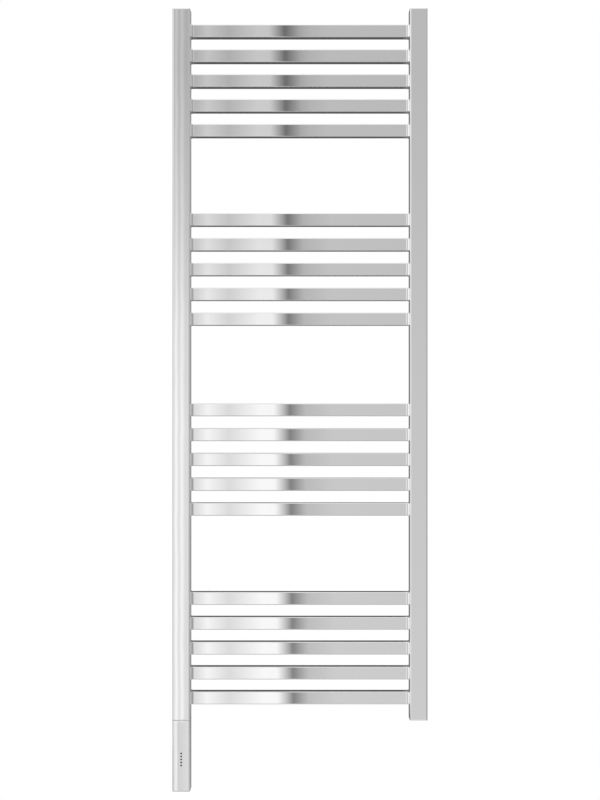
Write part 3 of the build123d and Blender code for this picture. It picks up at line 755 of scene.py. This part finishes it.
@dataclass
class ControlHead:
    """The square head under the left upright: housing, lamps, button and cable gland."""

    wall: float = 2.0 * MM
    floor: float = 2.5 * MM
    corner: float = 3.0 * MM
    bottom_round: float = 1.5 * MM
    bottom_flat: float = 0.2 * MM
    top_edge: float = 0.25 * MM
    holds: tuple[float, float] = (2.0 * MM, 1.0 * MM)  # rings below the top and above the bottom round
    lamp_radius: float = 1.8 * MM
    lamp_flange: float = 2.6 * MM
    lamp_flange_depth: float = 1.0 * MM
    lamp_count: int = 5
    lamp_dome: float = 0.15 * MM
    button_hole: float = 6.15 * MM
    button_radius: float = 6.0 * MM
    button_round: float = 0.5 * MM
    dish_radius: float = 4.6 * MM
    dish_depth: float = 0.35 * MM
    button_flange: float = 7.5 * MM
    button_flange_ends: tuple[float, float] = (2.4 * MM, 3.9 * MM)
    button_stem: float = 2.0 * MM
    gland_hole: float = 6.0 * MM
    gland_thread: float = 5.9 * MM
    gland_bore: float = 4.2 * MM
    gland_cavity: float = 5.0 * MM
    gland_lip: float = 1.0 * MM
    hexagon: float = 7.5 * MM
    hexagon_length: float = 5.0 * MM
    nut: float = 7.0 * MM
    edge: float = 0.4 * MM
    flutes: int = 12
    flute_depth: float = 0.45 * MM

    def section(self, z: float, inset: float) -> Ring:
        """Draws the housing's section at a height, drawn in by inset."""
        low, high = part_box("control_housing")
        middle = (low + high) / 2
        width, depth = high.x - low.x - 2 * inset, high.y - low.y - 2 * inset
        outline = rounded_outline(width, depth, self.corner - inset)
        return [Vector((middle.x + across, middle.y + up, z)) for across, up in outline]

    def lamp_heights(self) -> list[float]:
        """Gives the heights of the lamps' middles."""
        low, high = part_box("indicator_lenses")
        pitch = (high.z - low.z - 2 * self.lamp_flange) / (self.lamp_count - 1)
        return [low.z + self.lamp_flange + pitch * step for step in range(self.lamp_count)]

    def housing(self) -> None:
        """Builds the shell and cuts its holes for lamps, button and gland."""
        low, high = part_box("control_housing")
        middle = (low + high) / 2
        bottom = [(low.z + end, inset) for inset, end in quarter_round(self.bottom_round, 6)]
        path = [
            (low.z + self.floor, self.wall),
            (high.z - self.top_edge, self.wall),
            (high.z, self.wall - self.top_edge),
            (high.z, self.top_edge),
            (high.z - self.top_edge, 0.0),
            (high.z - self.holds[0], 0.0),
            (low.z + self.bottom_round + self.holds[1], 0.0),
            *bottom,
            (low.z, self.bottom_round + self.bottom_flat),
        ]
        piece = Workpiece("control_housing_shell")
        piece.loft([self.section(z, inset) for z, inset in path])
        shell = piece.obj()
        holes = []
        for z in self.lamp_heights():
            hole = Workpiece("lamp_hole")
            ends = (-CUT_OVERRUN, self.wall + CUT_OVERRUN)
            hole.turn(Axis.Y, Vector((middle.x, low.y, z)), [(end, self.lamp_radius) for end in ends])
            holes.append(hole)
        hole = Workpiece("button_hole")
        ends = (-CUT_OVERRUN, self.floor + CUT_OVERRUN)
        hole.turn(Axis.Z, Vector((middle.x, middle.y, low.z)), [(end, self.button_hole) for end in ends], 64)
        holes.append(hole)
        gland = sum(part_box("gland_seal"), Vector()) / 2
        hole = Workpiece("gland_hole")
        ends = (-self.wall - CUT_OVERRUN, CUT_OVERRUN)
        hole.turn(Axis.Y, Vector((middle.x, high.y, gland.z)), [(end, self.gland_hole) for end in ends])
        holes.append(hole)
        carve(shell, holes)
        shell.data.set_sharp_from_angle(angle=math.radians(SHARP_ANGLE))
        place(shell, RAIL, "chrome_plated_steel", "control_housing")

    def lamps(self) -> None:
        """Builds the light pipes, each with a low dome flush with the front."""
        low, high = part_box("indicator_lenses")
        middle_x = (low.x + high.x) / 2
        shares = (0.08, 0.4, 0.7, 0.9, 0.985)
        flange_end = self.wall + self.lamp_flange_depth
        profile = [
            *((self.lamp_dome * share * share, self.lamp_radius * share) for share in shares),
            (self.wall, self.lamp_radius),
            (self.wall, self.lamp_flange),
            (flange_end, self.lamp_flange),
            (flange_end, self.lamp_radius),
            (high.y - low.y, self.lamp_radius),
        ]
        piece = Workpiece("indicator_light_pipes")
        for z in self.lamp_heights():
            piece.turn(Axis.Y, Vector((middle_x, low.y, z)), profile)
        place(piece.obj(), RAIL, "smoked_polycarbonate", "indicator_lenses")

    def button(self) -> None:
        """Builds the button, its face dished for a fingertip."""
        low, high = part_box("mode_button")
        middle = (low + high) / 2
        shares = (0.05, 0.35, 0.65, 0.88, 1.0)
        rim = reversed(quarter_round(self.button_round))
        flange_start, flange_end = self.button_flange_ends
        profile = [
            *((self.dish_depth * (1 - share * share), self.dish_radius * share) for share in shares),
            *((end, self.button_radius - inset) for inset, end in rim),
            (flange_start, self.button_radius),
            (flange_start, self.button_flange),
            (flange_end, self.button_flange),
            (flange_end, self.button_stem),
            (high.z - low.z, self.button_stem),
        ]
        piece = Workpiece("dished_mode_button")
        piece.turn(Axis.Z, Vector((middle.x, middle.y, low.z)), profile, 64)
        place(piece.obj(30.0), BUTTON, "moulded_abs", "mode_button")

    def gland_path(self, inner_end: float, outer_end: float) -> list[tuple[float, float, bool, bool]]:
        """Lists the gland's rings from the inner end of its thread, out along its outside and back in.

        Args:
            inner_end: Distance from the housing's back to the thread's end, below zero.
            outer_end: Distance from the housing's back to the dome nut's end.

        Returns:
            For each ring its distance from the housing's back, its radius, and whether it is a hexagon and
            whether it is fluted.
        """
        hexagon, nut, edge, seat = self.hexagon, self.nut, self.edge, self.hexagon_length
        dome = ((2.6 * MM, 0.1 * MM), (1.6 * MM, 0.5 * MM), (0.6 * MM, 1.2 * MM), (0.0, 2.2 * MM))
        lip_edge = 0.2 * MM
        return [
            (inner_end, self.gland_bore, False, False),
            (inner_end, self.gland_thread, False, False),
            (0.0, self.gland_thread, False, False),
            (0.0, hexagon - edge, True, False),
            (edge, hexagon, True, False),
            (seat - edge, hexagon, True, False),
            (seat, hexagon - edge, True, False),
            (seat, nut - edge, False, False),
            (seat + edge, nut, False, False),
            (seat + 1.2 * MM, nut, False, False),
            (seat + 1.8 * MM, nut, False, True),
            (outer_end - 3.4 * MM, nut, False, True),
            *((outer_end - back, nut - inset, False, False) for back, inset in dome),
            (outer_end, self.gland_bore + lip_edge, False, False),
            (outer_end - lip_edge, self.gland_bore, False, False),
            (outer_end - self.gland_lip, self.gland_bore, False, False),
            (outer_end - self.gland_lip, self.gland_cavity, False, False),
            (seat, self.gland_cavity, False, False),
            (seat, self.gland_bore, False, False),
        ]

    def gland(self) -> None:
        """Builds the cable gland: threaded tail, hexagon and fluted dome nut."""
        low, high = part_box("gland_body")
        middle = (low + high) / 2
        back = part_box("control_housing")[1].y
        start = Vector((middle.x, back, middle.z))
        steps = 96
        rings = []
        for along, radius, six, fluted in self.gland_path(low.y - back, high.y - back):
            ring = []
            for step in range(steps):
                turn = 2 * math.pi * step / steps
                nearest_flat = (turn + math.pi / 6) % (math.pi / 3) - math.pi / 6
                reach = radius / math.cos(nearest_flat) if six else radius
                if fluted:
                    reach -= self.flute_depth * max(0.0, math.cos(self.flutes * turn)) ** 3
                ring.append(Axis.Y.point(start, along, reach * math.sin(turn), reach * math.cos(turn)))
            rings.append(ring)
        piece = Workpiece("fluted_cable_gland")
        piece.loft(rings, closed=True)
        place(piece.obj(28.0), RAIL, "nickel_plated_brass", "gland_body")

    def build(self) -> None:
        """Builds the head's pieces."""
        self.housing()
        self.lamps()
        self.button()
        self.gland()


# ---------------------------------------------------------------- nodes kept as they are


@dataclass
class KeptNodes:
    """The CAD nodes that stay: each gets the finish of its slot, and those that show get broken edges."""

    edge: float = 0.35 * MM
    fine_edge: float = 0.12 * MM
    shown: tuple[str, ...] = (
        "upper_left_wall_socket",
        "upper_right_wall_socket",
        "lower_left_wall_socket",
        "lower_right_wall_socket",
        "vent_boss",
        "vent_body",
        "vent_spindle",
        "drain_plug",
    )
    small: tuple[str, ...] = ("head_screws", "vent_seal", "gland_seal")

    def dress(self) -> None:
        """Gives every node its finish."""
        slots = {part["node"]: part["material_slot"] for part in frame["record"]["subparts"]}
        for name, node in frame["nodes"].items():
            node.data.materials.clear()
            node.data.materials.append(FINISHES[slots[name]].material())
            if name in self.shown:
                soften(node, self.edge, weld=True)
            elif name in self.small:
                soften(node, self.fine_edge, weld=True)
        LOG.info("%d CAD nodes dressed", len(frame["nodes"]))


# ---------------------------------------------------------------- studio


@dataclass
class Studio:
    """A plain room with soft light, set up round the rail, and the camera.

    A cloth hangs to the left of the camera and a grey screen stands to its right, a dark gap between them.
    Reflections and shading see the room, while behind the rail the camera sees plain white. Angles are in
    degrees, azimuth from the camera's side to the right, and brightness is what the chrome gives back.
    """

    chrome_return: float = 0.79
    camera_distance: float = 2.8
    camera_lens: float = 64.4
    camera_sensor: float = 36.0
    softbox_size: tuple[float, float] = (2.4, 1.6)
    softbox_place: tuple[float, float, float] = (-0.3, -1.0, 2.3)
    softbox_tilt: float = -22.0
    softbox_power: float = 8.0
    floor_drop: float = 0.25
    floor_size: tuple[float, float] = (3.2, 1.5)
    floor_middle: float = -0.15
    floor_corner: float = 50 * MM
    floor_thickness: float = 20 * MM
    floor_edge: float = 2 * MM
    # the walls all the way round: window light and a dark curtain on the left, a doorway on the right
    room: tuple[Stop, ...] = (
        (-180.0, 0.5), (-176.0, 0.3), (-175.3, 0.16), (-160.0, 0.28), (-125.0, 0.2), (-104.0, 0.4),
        (-96.0, 0.92), (-66.0, 1.0), (-57.0, 0.56), (-40.0, 0.66), (-37.0, 0.2), (-35.0, 0.2), (-31.0, 0.7),
        (-8.0, 0.78), (8.0, 0.53), (27.0, 0.5), (30.0, 0.16), (33.0, 0.16), (37.0, 0.62), (42.0, 0.55),
        (46.0, 0.14), (64.0, 0.14), (70.0, 0.6), (104.0, 0.6), (140.0, 0.26), (175.3, 0.42), (180.0, 0.5),
    )
    room_rise: tuple[Stop, ...] = ((-40.0, 0.6), (-14.0, 0.94), (0.0, 1.0), (25.0, 1.1))
    # the walls take over from cloth, screen and paper between these angles, sideways and upward
    wall_sides: tuple[float, float] = (6.3, 8.0)
    wall_tops: tuple[float, float] = (18.0, 24.0)
    # the cloth with its folds, the dark gap and the screen
    cloth: tuple[Stop, ...] = (
        (-8.0, 0.76), (-5.03, 0.7), (-4.95, 0.98), (-4.83, 0.68), (-4.72, 0.94), (-4.6, 0.7), (-4.15, 0.72),
        (-3.7, 0.9), (-2.85, 0.7), (-1.6, 0.93), (-1.05, 0.92), (-0.42, 0.21), (0.2, 0.48), (1.3, 0.56),
        (8.0, 0.54),
    )
    gap: tuple[float, float] = (-0.9, 0.4)
    gap_lean: float = 0.013
    lean_from: tuple[float, float] = (-3.0, -1.3)
    cloth_fall: tuple[Stop, ...] = ((-13.0, 1.0), (-1.0, 1.0), (3.0, 0.93), (7.0, 0.77), (13.0, 0.6))
    screen_fall: tuple[Stop, ...] = ((-13.0, 1.08), (0.0, 1.0), (13.0, 0.87))
    # the paper that runs out under the camera, with one lit edge
    paper: tuple[Stop, ...] = (
        (-8.0, 0.62), (-5.03, 0.66), (-4.95, 0.96), (-4.89, 0.62), (-4.5, 0.7), (8.0, 0.66),
    )
    paper_edge: tuple[float, float] = (-12.55, -12.7)
    # a dark board straight behind the rail, from this far round and up to this height either way
    board_from: float = 175.6
    board_height: float = 14.4
    board_blur: tuple[float, float] = (0.3, 5.0)
    board_shade: float = 0.08
    floor_from: tuple[float, float] = (-19.0, -40.0)
    floor_shade: float = 0.16
    # the ceiling is bright toward the camera's side and fades to a part of that behind the rail
    ceiling_from: tuple[float, float] = (26.0, 40.0)
    ceiling_shade: float = 0.9
    ceiling_front: tuple[float, float] = (0.1, 0.6)
    ceiling_behind: float = 0.2

    def brightness(
        self, tree: bpy.types.NodeTree, angle: bpy.types.NodeSocket, stops: Sequence[Stop]
    ) -> bpy.types.NodeSocket:
        """Reads a brightness off a list of angles.

        Args:
            tree: The world's node tree.
            angle: The angle, in degrees.
            stops: Pairs of (angle, brightness), in order.

        Returns:
            The brightness at that angle.
        """
        low, high = stops[0][0], stops[-1][0]
        share = add_node(tree, "MapRange", {0: angle, 1: low, 2: high})
        greys = [((at - low) / (high - low), (value, value, value, 1.0)) for at, value in stops]
        return add_node(tree, "ValToRGB", {"Fac": share.outputs[0]}, greys).outputs[0]

    def surround(self) -> None:
        """Paints the room that the chrome mirrors."""
        world = bpy.data.worlds.new("soft_studio")
        bpy.context.scene.world = world
        world.use_nodes = True
        tree = world.node_tree
        tree.nodes.clear()

        way = add_node(tree, "SeparateXYZ", {0: add_node(tree, "TexCoord").outputs["Generated"]})
        facing = add_node(tree, "Math", {0: way.outputs["Y"], 1: -1.0}, operation="MULTIPLY").outputs[0]
        turn = add_node(tree, "Math", {0: way.outputs["X"], 1: facing}, operation="ARCTAN2")
        azimuth = add_node(tree, "Math", {0: turn.outputs[0]}, operation="DEGREES").outputs[0]
        rise = add_node(tree, "Math", {0: way.outputs["Z"]}, operation="ARCSINE")
        height = add_node(tree, "Math", {0: rise.outputs[0]}, operation="DEGREES").outputs[0]

        side, tilt = (
            add_node(tree, "Math", {0: angle}, operation="ABSOLUTE").outputs[0] for angle in (azimuth, height)
        )
        fades = (
            (height, self.paper_edge),
            (side, self.wall_sides),
            (height, self.wall_tops),
            (tilt, (self.board_height + self.board_blur[1], self.board_height)),
            (height, self.floor_from),
            (height, self.ceiling_from),
        )
        low_down, sideways, steep, level, below, above = (
            add_node(tree, "MapRange", {0: angle, 1: start, 2: end}, interpolation_type="SMOOTHSTEP")
            for angle, (start, end) in fades
        )

        # cloth, gap and screen: the gap leans, and both sides darken upward
        start, end = self.lean_from
        near_gap = add_node(tree, "MapRange", {0: azimuth, 1: start, 2: end, 4: self.gap_lean})
        leant = add_node(
            tree, "Math", {0: near_gap.outputs[0], 1: height, 2: azimuth}, operation="MULTIPLY_ADD"
        )
        cloth = self.brightness(tree, leant.outputs[0], self.cloth)
        right_of_gap = add_node(tree, "MapRange", {0: azimuth, 1: self.gap[0], 2: self.gap[1]})
        cloth_fall = self.brightness(tree, height, self.cloth_fall)
        screen_fall = self.brightness(tree, height, self.screen_fall)
        fall = add_node(
            tree, "Mix", {"Factor": right_of_gap.outputs[0], 6: cloth_fall, 7: screen_fall}, data_type="RGBA"
        )
        hung = add_node(
            tree,
            "Mix",
            {"Factor": 1.0, 6: cloth, 7: fall.outputs[2]},
            data_type="RGBA",
            blend_type="MULTIPLY",
        )

        # the paper takes over below them
        paper = self.brightness(tree, azimuth, self.paper)
        ahead = add_node(
            tree, "Mix", {"Factor": low_down.outputs[0], 6: hung.outputs[2], 7: paper}, data_type="RGBA"
        )

        # the walls beside and above them
        beyond = add_node(tree, "Math", {0: sideways.outputs[0], 1: steep.outputs[0]}, operation="MAXIMUM")
        walls = add_node(
            tree,
            "Mix",
            {
                "Factor": 1.0,
                6: self.brightness(tree, azimuth, self.room),
                7: self.brightness(tree, height, self.room_rise),
            },
            data_type="RGBA",
            blend_type="MULTIPLY",
        )
        parts = {"Factor": beyond.outputs[0], 6: ahead.outputs[2], 7: walls.outputs[2]}
        room = add_node(tree, "Mix", parts, data_type="RGBA")

        # the board, the floor and the ceiling lie over all that
        blur = self.board_blur[0]
        start, end = self.board_from - blur, self.board_from + blur
        far_round = add_node(tree, "MapRange", {0: side, 1: start, 2: end})
        board = add_node(tree, "Math", {0: far_round.outputs[0], 1: level.outputs[0]}, operation="MULTIPLY")
        start, end = self.ceiling_front
        before = add_node(
            tree,
            "MapRange",
            {0: facing, 1: start, 2: end, 3: self.ceiling_behind},
            interpolation_type="SMOOTHSTEP",
        )
        overhead = add_node(tree, "Math", {0: above.outputs[0], 1: before.outputs[0]}, operation="MULTIPLY")
        covers = ((board, self.board_shade), (below, self.floor_shade), (overhead, self.ceiling_shade))
        for cover, shade in covers:
            grey = (shade, shade, shade, 1.0)
            parts = {"Factor": cover.outputs[0], 6: room.outputs[2], 7: grey}
            room = add_node(tree, "Mix", parts, data_type="RGBA")

        white = add_node(tree, "Background", {"Color": (1.0, 1.0, 1.0, 1.0), "Strength": 1.0})
        gain = 1 / self.chrome_return
        mirrored = add_node(tree, "Background", {"Color": room.outputs[2], "Strength": gain})
        direct = add_node(tree, "LightPath").outputs["Is Camera Ray"]
        mix = add_node(tree, "MixShader", {0: direct, 1: mirrored.outputs[0], 2: white.outputs[0]})
        add_node(tree, "OutputWorld", {"Surface": mix.outputs[0]})

    def lay_floor(self) -> None:
        """Lays a pale floor below the rail, with an eased edge."""
        top = CAD_BOX[0].z - self.floor_drop
        edge = self.floor_edge
        piece = Workpiece("floor")
        rings = []
        for z, inset in ((top - self.floor_thickness, 0.0), (top - edge, 0.0), (top, edge)):
            size = (self.floor_size[0] - 2 * inset, self.floor_size[1] - 2 * inset)
            outline = rounded_outline(*size, self.floor_corner)
            rings.append([Vector((across, up + self.floor_middle, z)) for across, up in outline])
        piece.loft(rings)
        floor = piece.obj()
        floor.data.materials.append(FLOOR.material())

    def set_camera(self) -> None:
        """Sets the camera level, square on to the middle of the rail and head together."""
        low, high = CAD_BOX
        lens = bpy.data.cameras.new("camera")
        lens.type = "PERSP"
        lens.lens = self.camera_lens
        lens.sensor_width = self.camera_sensor
        camera = bpy.data.objects.new("camera", lens)
        camera.location = (0.0, low.y - self.camera_distance, (low.z + high.z) / 2)
        camera.rotation_euler = (math.pi / 2, 0.0, 0.0)
        bpy.context.scene.collection.objects.link(camera)
        bpy.context.scene.camera = camera

    def light(self) -> None:
        """Adds one large soft lamp overhead, for the floor's shadow."""
        lamp = bpy.data.lights.new("overhead_softbox", "AREA")
        lamp.shape = "RECTANGLE"
        lamp.size, lamp.size_y = self.softbox_size
        lamp.energy = self.softbox_power
        holder = bpy.data.objects.new("overhead_softbox", lamp)
        holder.location = self.softbox_place
        holder.rotation_euler = (math.radians(self.softbox_tilt), 0.0, 0.0)
        bpy.context.scene.collection.objects.link(holder)

    def build(self) -> None:
        """Sets the camera, the lights and the floor."""
        self.set_camera()
        self.surround()
        self.light()
        self.lay_floor()
        bpy.context.scene.view_settings.view_transform = "Standard"
        LOG.info("studio ready")


def main() -> None:
    """Builds the studio and every piece in turn."""
    logging.basicConfig(level=logging.INFO, format="%(name)s: %(message)s")
    Studio().build()
    KeptNodes().dress()
    Uprights().build()
    Rungs().build()
    Brackets().build()
    ControlHead().build()


if __name__ == "__main__":
    main()
